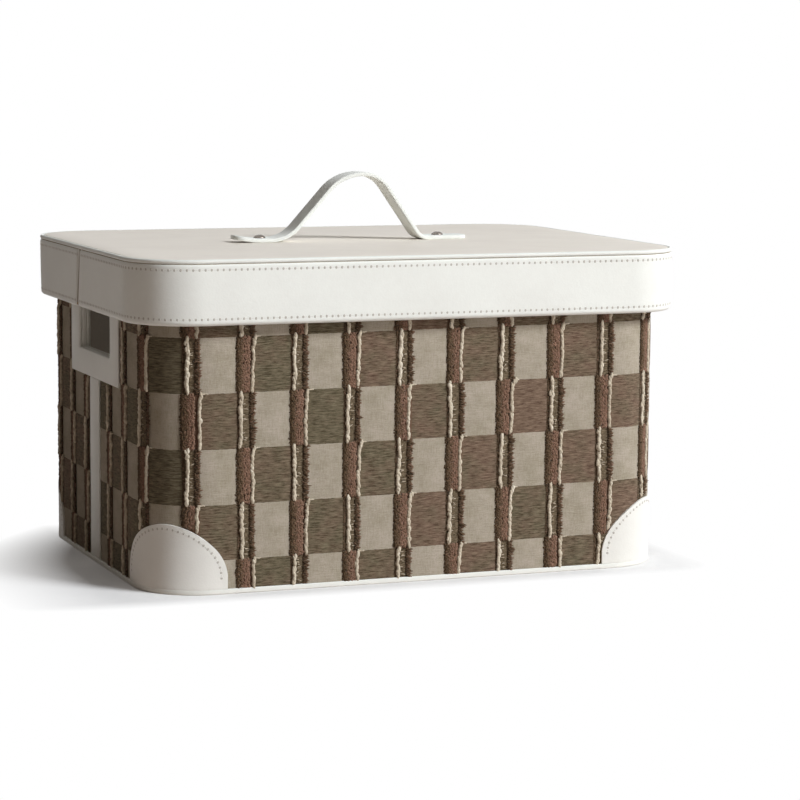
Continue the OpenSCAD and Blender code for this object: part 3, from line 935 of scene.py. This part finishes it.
def sew(name, line, pitch, out, width=STITCH_W):
    """A row of stitches along a flat line of (x, z) places, with the needle marks between them, whose greyer
    colour paints the shade in the needle holes.
    """
    line = np.asarray(line, float)
    lengths = np.concatenate([[0], np.cumsum(np.linalg.norm(np.diff(line, axis=0), axis=1))])
    count = max(2, round(lengths[-1] / pitch))
    step = lengths[-1] / count

    def along(run):
        return np.interp(run, lengths, line[:, 0]), np.interp(run, lengths, line[:, 1])

    made = []
    for label, master, runs, size, sunk in (
            (name, stitch(), (np.arange(count) + 0.5) * step,
             (0.6 * step, 0.9 * width, 0.9 * width), 0.3 * width),
            (name + "_holes", grain("needle_shade_mark", 8, 4, UPRIGHT), np.arange(count + 1) * step,
             (0.42 * step, 0.3 * width, 2.5 * width), 0.0)):
        x, z = along(runs)
        ahead, behind = along(runs + 0.5 * MM), along(runs - 0.5 * MM)
        aim = -np.arctan2(ahead[1] - behind[1], ahead[0] - behind[0])
        spots = np.stack([x, np.full(len(x), out + sunk), z], 1)
        turns = np.stack([0 * x, aim, 0 * x], 1)
        sizes = np.tile(size, (len(x), 1))
        made.append(lay_copies(label, master, spots, turns, sizes, np.full(len(x), 0.5)))
        bpy.data.objects.remove(master)
    return made


def corner_outline(inset, count=72):
    """Outline of a corner patch laid flat, from its left foot over the top to its right foot."""
    middle, radius = CORNER_H - CORNER_HALF, CORNER_HALF - inset
    places = []
    for i in range(count + 1):
        angle = math.pi * (1 - i / count)
        across, z = radius * math.cos(angle), middle + radius * math.sin(angle)
        reach = abs(across)
        if reach <= BODY_R * DIAGONAL:
            off = BODY_R * math.asin(reach / BODY_R)
        else:
            off = CORNER_BEND + reach / DIAGONAL - BODY_R
        places.append((math.copysign(off, across), BASE_H + z))
    foot = BASE_H + inset * 0.25
    return [(places[0][0], foot)] + places + [(places[-1][0], foot)]


def corner_patches(path, half):
    """Leather domes bent round the lower corners and sewn down along their edge."""
    outline = corner_outline(0)
    hands_off()
    bpy.ops.mesh.primitive_circle_add(
        vertices=len(outline), radius=CORNER_H, fill_type="NGON", rotation=UPRIGHT)
    patch = fresh("corner_patch_front_right_leather")
    set_points(patch, [(x, -GLUE, z) for x, z in reversed(outline)])
    take_all(patch)
    bpy.ops.mesh.normals_make_consistent(inside=False)
    for border in CORNER_BORDERS:
        bpy.ops.mesh.inset(thickness=border, depth=0)
    hands_off()
    # The panel inside the stitches lies a little deeper than the border
    panel = sorted({v for f in patch.data.polygons if f.select for v in f.vertices})
    co = points(patch)
    co[panel, 1] += CORNER_SUNK
    set_points(patch, co)
    if patch.data.polygons[0].normal.y > 0:
        turn_faces(patch)
    take_all(patch)
    bpy.ops.mesh.inset(thickness=HAIR, depth=0)
    hands_off()
    slice_up(patch, 0, np.arange(-42, 43, 2) * MM)
    row = sew("corner_stitch_front_right", corner_outline(2.75 * MM)[1:-1], CORNER_STITCH,
              -GLUE - LEATHER + 0.03 * MM)
    middle = BODY_W / 2 - BODY_R + CORNER_BEND
    for piece in (patch, *row):
        set_points(piece, points(piece) + (half + middle, 0, 0))
        lead_round(piece, path)
    thicken(patch, LEATHER, 0.45 * MM, offset=1.0)
    smooth(patch)
    kinds = ((patch, PATCH, "corner_patch_{}_leather"), (row[0], THREAD, "corner_stitch_{}"),
             (row[1], NEEDLE_SHADE, "corner_stitch_{}_holes"))
    for side, copied, how in (("front_right", None, 0), ("front_left", mirrored, 0),
                              ("rear_right", mirrored, 1), ("rear_left", turned, math.pi)):
        for piece, material, label in kinds:
            made = copied(piece, label.format(side), how) if copied else piece
            nodes = ("corner_patch_" + side,) if piece is patch else ()
            dress(made, material, "box", "white_leather", *nodes)


def grips():
    """Leather round each finger hole, its edge turned in through the wall, and the strip below it."""
    def in_hole(p, _):
        return abs(p[1]) < HOLE_W / 2 + TINY and abs(p[2] - HOLE_MID) < HOLE_H / 2 + TINY

    patch = blank(bpy.ops.mesh.primitive_plane_add, "grip_patch_right_leather",
                  (PATCH_TOP - PATCH_LOW, PATCH_W, 1), (BODY_W / 2, 0, (PATCH_LOW + PATCH_TOP) / 2), ALONG_X)
    slice_up(patch, 1, (-HOLE_W / 2, HOLE_W / 2))
    slice_up(patch, 2, (HOLE_MID - HOLE_H / 2, HOLE_MID + HOLE_H / 2))
    cut_out(patch, in_hole)
    draw_out(patch, in_hole, (-LINING_END, 0, 0))
    round_off(patch, lambda p, d: abs(d[0]) > 3 * MM, HOLE_R, 5)
    round_off(patch, lambda p, d: abs(p[0] - BODY_W / 2) < TINY and in_hole(p, d), 0.3 * MM, 3)
    face_out(patch)
    if sum(f.normal.x * f.area for f in patch.data.polygons if abs(f.normal.x) > 0.9) < 0:
        turn_faces(patch)
    thicken(patch, LEATHER, 0.4 * MM, offset=1.0)
    press_folds(patch)
    smooth(patch)
    strip = blank(bpy.ops.mesh.primitive_cube_add, "side_strip_right_leather",
                  (LEATHER, STRIP_W, PATCH_LOW - BASE_H - SHEET_GAP),
                  (BODY_W / 2 + LEATHER / 2, 0, (BASE_H + PATCH_LOW) / 2))
    slice_up(strip, 2, np.linspace(BASE_H, PATCH_LOW, 14)[1:-1])
    soften(strip, 0.45 * MM)
    smooth(strip)
    pair(patch, WHITE, "box", "white_leather", "grip_patch")
    pair(strip, WHITE, "box", "white_leather", "side_strip")


def press_folds(patch):
    """Two creases that run round inside the finger hole, where the turned edge folds over the board."""
    folds = ((BODY_W / 2 - 1.0 * MM, 0.95 * MM), (BODY_W / 2 - 4.3 * MM, 0.6 * MM))
    slice_up(patch, 0, [x + step * wide for x, wide in folds for step in (-1.0, -0.5, 0.0, 0.5, 1.0)])
    co = points(patch)
    y, z = co[:, 1], co[:, 2] - HOLE_MID
    inner_y, inner_z = HOLE_W / 2 - HOLE_R, HOLE_H / 2 - HOLE_R
    off = np.stack([y - np.clip(y, -inner_y, inner_y), z - np.clip(z, -inner_z, inner_z)], 1)
    reach = np.linalg.norm(off, axis=1)
    shown = (reach > 1e-6) & (reach < HOLE_R - 0.6 * LEATHER) & (co[:, 0] < BODY_W / 2)
    depth = sum(0.95 * MM * np.clip(1 - ((co[:, 0] - x) / wide) ** 2, 0, 1) for x, wide in folds)
    co[shown, 1:] += off[shown] / reach[shown, None] * depth[shown, None]
    set_points(patch, co)


def round_slab(name, w, d, r, z0, z1):
    """A flat plate with round corners, between two heights."""
    slab = blank(bpy.ops.mesh.primitive_plane_add, name, (w, d, 1), (0, 0, z0))
    take_all(slab, "VERT")
    bpy.ops.mesh.bevel(offset=r, segments=28, affect="VERTICES", offset_type="OFFSET")
    bpy.ops.mesh.select_all(action="SELECT")
    bpy.ops.mesh.extrude_region_move(TRANSFORM_OT_translate={"value": (0, 0, z1 - z0)})
    bpy.ops.mesh.select_all(action="SELECT")
    bpy.ops.mesh.normals_make_consistent(inside=False)
    hands_off()
    return slab


def base():
    slab = round_slab("base_leather_wrap", BODY_W + 2 * BASE_LIP, BODY_D + 2 * BASE_LIP, BODY_R + BASE_LIP,
                      0, BASE_H)
    soften(slab, 0.7 * MM)
    smooth(slab)
    dress(slab, WHITE, "box", "white_leather", "base_leather")


# Lid

def skirt():
    """One long strip of leather, led round the lid from its seam and turned under at its lower edge."""
    length = run_length(LID_W, LID_D, LID_R)
    top = BOX_H - WELT_D
    strip = flat_sheet("skirt_leather", SEAM_GAP / 2, length - SEAM_GAP / 2, SKIRT_Z, top - WELT_SLOT,
                       3.2 * MM, 0.95 * MM)
    draw_out(strip, lambda p, d: p[2] < SKIRT_Z + TINY, (0, LID_LAYERS, 0))
    by_seam = SEAM_GAP / 2 + 0.6 * MM * np.arange(1, 6)
    slice_up(strip, 0, [*by_seam, *(length - by_seam)])
    slice_up(strip, 2, top - np.array([0.7, 0.95, 1.2]) * MM)
    slice_up(strip, 2, SKIRT_Z + np.array([0.12, 0.35, 0.65, 1.4, 2.4]) * MM)
    co = points(strip)
    x, z = co[:, 0], co[:, 2]
    face = co[:, 1] < 0.1 * MM
    sunk = tuck(z)
    for row in stitch_rows():
        sunk += 0.03 * MM * np.exp(-((z - row) / (1.0 * MM)) ** 2)
    sunk += WELT_DEPTH * np.clip(1 - (top - z) / WELT_FALL, 0, 1)
    from_seam = np.minimum(x, length - x)
    sunk += SEAM_DEPTH * np.clip(1 - (from_seam - SEAM_GAP / 2) / SEAM_FALL, 0, 1)
    pull = np.sin(x / (31 * MM)) + 0.6 * np.sin(x / (13.7 * MM) + 1.3) + 0.5 * np.sin(x / (71 * MM) + 0.4)
    sunk += 0.05 * MM * pull * np.sin((z - SKIRT_Z) / (top - SKIRT_Z) * math.pi)
    co[face, 1] += sunk[face]
    # The seam leans: its lower end stands further back
    co[:, 0] -= seam_back(co[:, 2])
    set_points(strip, co)
    path = round_path("skirt_line", LID_W, LID_D, LID_R, "left")
    rows_sewn = []
    for name, row in zip(("skirt_stitch_low", "skirt_stitch_high"), stitch_rows()):
        start, end = (x - seam_back(row) for x in (3.6 * MM, length - 3.6 * MM))
        rows_sewn += sew(name, [(start, row), (end, row)], SKIRT_STITCH, tuck(row) + 0.03 * MM)
    # A strip behind the seam gap, in a grey that paints the shade inside the seam
    tape = flat_sheet("skirt_seam_tape", -SEAM_TAPE_W / 2, SEAM_TAPE_W / 2, SKIRT_Z + 3 * MM, top - 0.2 * MM,
                      2 * MM, 6 * MM, SEAM_TAPE_Y)
    co = points(tape)
    co[:, 0] -= seam_back(co[:, 2])
    set_points(tape, co)
    for piece in (strip, tape, *rows_sewn):
        lead_round(piece, path)
    finish_with(strip, "SOLIDIFY", thickness=LEATHER - 0.2 * MM, offset=-1.0)
    finish_with(tape, "SOLIDIFY", thickness=0.1 * MM, offset=-1.0)
    smooth(strip, 60)
    dress(tape, SHADE_TAPE, "lid", "white_leather")
    dress(strip, WHITE, "lid", "white_leather", "lid_band")
    for piece in rows_sewn:
        dress(piece, NEEDLE_SHADE if piece.name.endswith("holes") else THREAD, "lid", "white_leather")


def tuck(z):
    """How far the skirt leans in towards its lower edge, which is turned under in a round."""
    low = np.clip(1 - (z - SKIRT_Z) / (BOX_H - SKIRT_Z), 0, 1)
    curl = np.clip(1 - (z - SKIRT_Z) / HEM_ROUND, 0, 1)
    return SKIRT_LEAN * low ** 1.5 + HEM_ROUND * (1 - np.sqrt(1 - curl ** 2))


def seam_back(z):
    """How far back of the middle of the left side the seam stands at a height."""
    return SEAM_BACK + (BOX_H - 0.5 * (BOX_H - SKIRT_Z) - z) * SEAM_SLOPE


def stitch_rows():
    return SKIRT_Z + 4.3 * MM, BOX_H - WELT_D - 3.6 * MM


def welt():
    """Covered cord along the top edge."""
    r = WELT_D / 2
    w, d, bend = LID_W - WELT_D, LID_D - WELT_D, LID_R - r
    length = run_length(w, d, bend)
    hands_off()
    bpy.ops.mesh.primitive_cylinder_add(
        vertices=14, radius=r, depth=length - 0.1 * MM, end_fill_type="NGON",
        location=(length / 2, 0, BOX_H - r), rotation=ALONG_X)
    cord = fresh("welt_cord")
    for cuts in (24, 24):
        pick(cord, "EDGE", lambda p, d: abs(d[0]) > 1e-4)
        bpy.ops.mesh.subdivide(number_cuts=cuts)
        hands_off()
    lead_round(cord, round_path("welt_line", w, d, bend, "rear"))
    smooth(cord, 60)
    dress(cord, WHITE, "lid", "white_leather", "lid_welt")


def lid_top():
    inset = WELT_D + GLUE
    slab = round_slab("top_leather_sheet", LID_W - 2 * inset, LID_D - 2 * inset, LID_R - inset,
                      BOX_H - LEATHER, BOX_H)
    soften(slab, 0.9 * MM)
    slice_up(slab, 0, np.arange(-170, 171, 10) * MM)
    slice_up(slab, 1, np.arange(-130, 131, 10) * MM)
    co = points(slab)
    x, y = co[:, 0], co[:, 1]
    rolls = np.sin(x / (37 * MM) + 0.7) * np.sin(y / (29 * MM)) + 0.7 * np.sin(x / (61 * MM) - y / (47 * MM))
    edge = np.clip(np.minimum(LID_W / 2 - np.abs(x), LID_D / 2 - np.abs(y)) / (30 * MM), 0, 1)
    top = co[:, 2] > BOX_H - 0.1 * MM
    co[top, 2] += (0.08 * MM * rolls * edge - 0.1 * MM * edge)[top]
    set_points(slab, co)
    smooth(slab)
    dress(slab, TOP, "lid", "top_leather", "lid_top_leather")


def strap_side(leg, reach):
    """Middle line of one side of the strap, from its highest place out to an end."""
    crown_r, foot_r, angle = leg
    mid = crown_r - STRAP_T / 2
    run = (ARCH_H - STRAP_T - (mid + foot_r) * (1 - math.cos(angle))) / math.sin(angle)
    foot = CROWN_FLAT / 2 + (mid + foot_r) * math.sin(angle) + run * math.cos(angle)
    low, crown = BOX_H + STRAP_T / 2, BOX_H + ARCH_H - crown_r
    line = [(CROWN_FLAT / 2 + mid * math.sin(a), crown + mid * math.cos(a)) for a in np.linspace(0, angle, 25)]
    x, z = line[-1]
    line += [(x + run * math.cos(angle) * t, z - run * math.sin(angle) * t) for t in np.linspace(0, 1, 16)[1:-1]]
    line += [(foot - foot_r * math.sin(a), low + foot_r - foot_r * math.cos(a)) for a in np.linspace(angle, 0, 16)]
    line += [(foot + (reach - foot) * t, low) for t in np.linspace(0, 1, 18)[1:]]
    return line


def strap():
    """Handle strap, bent from a flat strip. Its left end has come up a little from the lid."""
    tip = STRAP_SPAN / 2
    left = [(CROWN_X - x, z) for x, z in strap_side(LEFT_LEG, tip + CROWN_X)]
    right = [(CROWN_X + x, z) for x, z in strap_side(RIGHT_LEG, tip - CROWN_X)]
    left = [(x, z + TIP_LIFT * max(0.0, (-x - tip + TIP_RUN) / TIP_RUN) ** 1.5) for x, z in left]
    line = [(x, 0, z) for x, z in reversed(left)] + [(x, 0, z) for x, z in right]
    length = sum(math.dist(a, b) for a, b in zip(line[:-1], line[1:]))
    piece = blank(bpy.ops.mesh.primitive_cube_add, "handle_strap_leather", (length, STRAP_W, STRAP_T),
                  (length / 2, 0, 0))
    round_off(piece, lambda p, d: abs(d[2]) > 1 * MM, TAB_R, 8)
    soften(piece, 0.6 * MM)
    slice_up(piece, 0, np.arange(7 * MM, length - 6.5 * MM, 2 * MM))
    slice_up(piece, 1, np.array([-6, -3, 0, 3, 6]) * MM)
    co = points(piece)
    over = np.clip(1 - np.abs(co[:, 1]) / (STRAP_W / 2), 0, 1)
    co[:, 2] += 0.12 * MM * np.sqrt(over) * np.sign(co[:, 2])
    for spot in (RIVET_INSET, length - RIVET_INSET):
        near = np.exp(-((co[:, 0] - spot) ** 2 + co[:, 1] ** 2) / (4.5 * MM) ** 2)
        co[:, 2] -= np.where(co[:, 2] > 0, 0.3 * MM * near, 0)
    set_points(piece, co)
    lead_round(piece, thread_path("strap_line", line))
    smooth(piece)
    dress(piece, WHITE, "lid", "white_leather", "handle_strap")
    return tip


def rivets(tip):
    """Domed rivets, turned from one outline, head above the strap and set end under the lid."""
    head, spot = BOX_H + STRAP_T - RIVET_SUNK, tip - RIVET_INSET
    outline = [(0, RIVET_FOOT), (2.5, RIVET_FOOT), (2.9, RIVET_FOOT + 0.3 * MM), (2.9, RIVET_SEAT),
               (1.8, RIVET_SEAT), (1.8, head)]
    outline += [(r, head + rise * MM) for r, rise in RIVET_DOME]
    mesh = bpy.data.meshes.new("rivet")
    mesh.from_pydata([(spot + r * MM, 0, z) for r, z in outline],
                     [(i, i + 1) for i in range(len(outline) - 1)], [])
    piece = bpy.data.objects.new("rivet_right_metal", mesh)
    bpy.context.scene.collection.objects.link(piece)
    take_all(piece, "VERT")
    bpy.ops.mesh.spin(steps=36, angle=2 * math.pi, center=(spot, 0, 0), axis=(0, 0, 1))
    bpy.ops.mesh.select_all(action="SELECT")
    bpy.ops.mesh.remove_doubles(threshold=TINY)
    bpy.ops.mesh.normals_make_consistent(inside=False)
    hands_off()
    smooth(piece, 50)
    pair(piece, METAL, "lid", "polished_metal", "rivet")


def facing():
    """Flat leather ring round each finger hole on the inside of the wall."""
    ring = blank(bpy.ops.mesh.primitive_plane_add, "grip_facing_right_leather",
                 (HOLE_H + 2 * FACING_RIM, HOLE_W + 2 * FACING_RIM, 1),
                 (BODY_W / 2 - LINING_END, 0, HOLE_MID), (0, -math.pi / 2, 0))
    take_all(ring, "VERT")
    bpy.ops.mesh.bevel(offset=HOLE_R + FACING_RIM, segments=10, affect="VERTICES")
    bpy.ops.mesh.select_all(action="SELECT")
    bpy.ops.mesh.inset(thickness=FACING_RIM, depth=0)
    bpy.ops.mesh.delete(type="FACE")
    hands_off()
    thicken(ring, LEATHER - 0.1 * MM, 0.4 * MM, offset=1.0)
    smooth(ring)
    pair(ring, WHITE, "box", "white_leather", "grip_facing")


def wall_lining(path):
    """Inside cloth of the box, folded over the rim and cut out at the finger holes."""
    run = run_length(BODY_W, BODY_D, BODY_R)
    sheet = flat_sheet("wall_lining_cloth", SHEET_GAP, run - SHEET_GAP, BASE_H + 0.1 * MM, RIM_Z,
                       5 * MM, 6 * MM, LINING_END)
    sides = (HALF_RUN, 3 * HALF_RUN)
    slice_up(sheet, 2, (CUT_LOW, CUT_HIGH))
    slice_up(sheet, 0, [side + way * CUT_REACH for side in sides for way in (-1, 1)])
    cut_out(sheet, lambda p, n: CUT_LOW < p[2] < CUT_HIGH and min(abs(p[0] - s) for s in sides) < CUT_REACH)
    draw_out(sheet, lambda p, d: p[2] > RIM_Z - TINY, (0, 0.3 * MM - LINING_END, 0))
    round_off(sheet, lambda p, d: p[2] > RIM_Z - TINY and p[1] > LINING_END - TINY and abs(d[0]) > TINY,
              0.7 * MM, 4)
    lead_round(sheet, path)
    turn_faces(sheet)
    thicken(sheet, LINING - 0.1 * MM, 0.2 * MM, segments=2)
    smooth(sheet)
    dress(sheet, INSIDE, "box", "lining_cloth", "wall_lining")


def lid_side_lining():
    """Cloth band inside the lid, over the turned edge of the skirt."""
    run = run_length(LID_W, LID_D, LID_R)
    band = flat_sheet("lid_side_lining_cloth", SHEET_GAP, run - SHEET_GAP, HEM_Z, LID_LINING_Z - 0.1 * MM,
                      5 * MM, 6 * MM, LID_LAYERS)
    lead_round(band, round_path("lid_lining_line", LID_W, LID_D, LID_R, "rear"))
    turn_faces(band)
    thicken(band, LINING - 0.1 * MM, 0.2 * MM, segments=2)
    smooth(band)
    dress(band, INSIDE, "lid", "lining_cloth", "lid_side_lining")


def flat_lining(name, w, d, r, low, body, node):
    """Cloth glued flat on a board, with its cut edge rounded and a few slack places."""
    sheet = round_slab(name, w, d, r, low, low + LINING)
    soften(sheet, 0.3 * MM, 2)
    slice_up(sheet, 0, np.arange(-170, 171, 10) * MM)
    slice_up(sheet, 1, np.arange(-120, 121, 10) * MM)
    co = points(sheet)
    x, y = co[:, 0], co[:, 1]
    slack = np.sin(x / (43 * MM) + 0.4) * np.sin(y / (33 * MM) + 1.1)
    way = 1 if body == "box" else -1
    raised = (np.abs(x) < w / 2 - 8 * MM) & (np.abs(y) < d / 2 - 8 * MM) & (slack > 0)
    raised &= way * (co[:, 2] - low - LINING / 2) > 0
    co[raised, 2] += way * 0.1 * MM * slack[raised]
    set_points(sheet, co)
    smooth(sheet)
    dress(sheet, INSIDE, body, "lining_cloth", node)


def dress_solids():
    """Solids that keep their own shape get their finish."""
    for names, material in (
            (("base_board", "wall_board_front", "wall_board_rear", "lid_board", "lid_rim_board"), BOARD),
            (("washer_left", "washer_right"), METAL)):
        for name in names:
            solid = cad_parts[name]
            solid.data.materials.clear()
            solid.data.materials.append(material)


set_camera()
set_stage()
box_line, half_round = cover_box()
corner_patches(box_line, half_round)
grips()
facing()
base()
wall_lining(box_line)
flat_lining("base_lining_cloth", BODY_W - 2 * LINING_END - SHEET_GAP, BODY_D - 2 * LINING_END - SHEET_GAP,
            BODY_R - LINING_END, BASE_H, "box", "base_lining")
skirt()
welt()
lid_top()
flat_lining("lid_top_lining_cloth", LID_W - LID_LINING_LESS, LID_D - LID_LINING_LESS,
            LID_R - LID_LINING_LESS / 2, LID_LINING_Z, "lid", "lid_top_lining")
lid_side_lining()
rivets(strap())
dress_solids()

for helper in [o for o in bpy.context.scene.objects if o.type == "CURVE"]:
    bpy.data.objects.remove(helper)
hands_off()
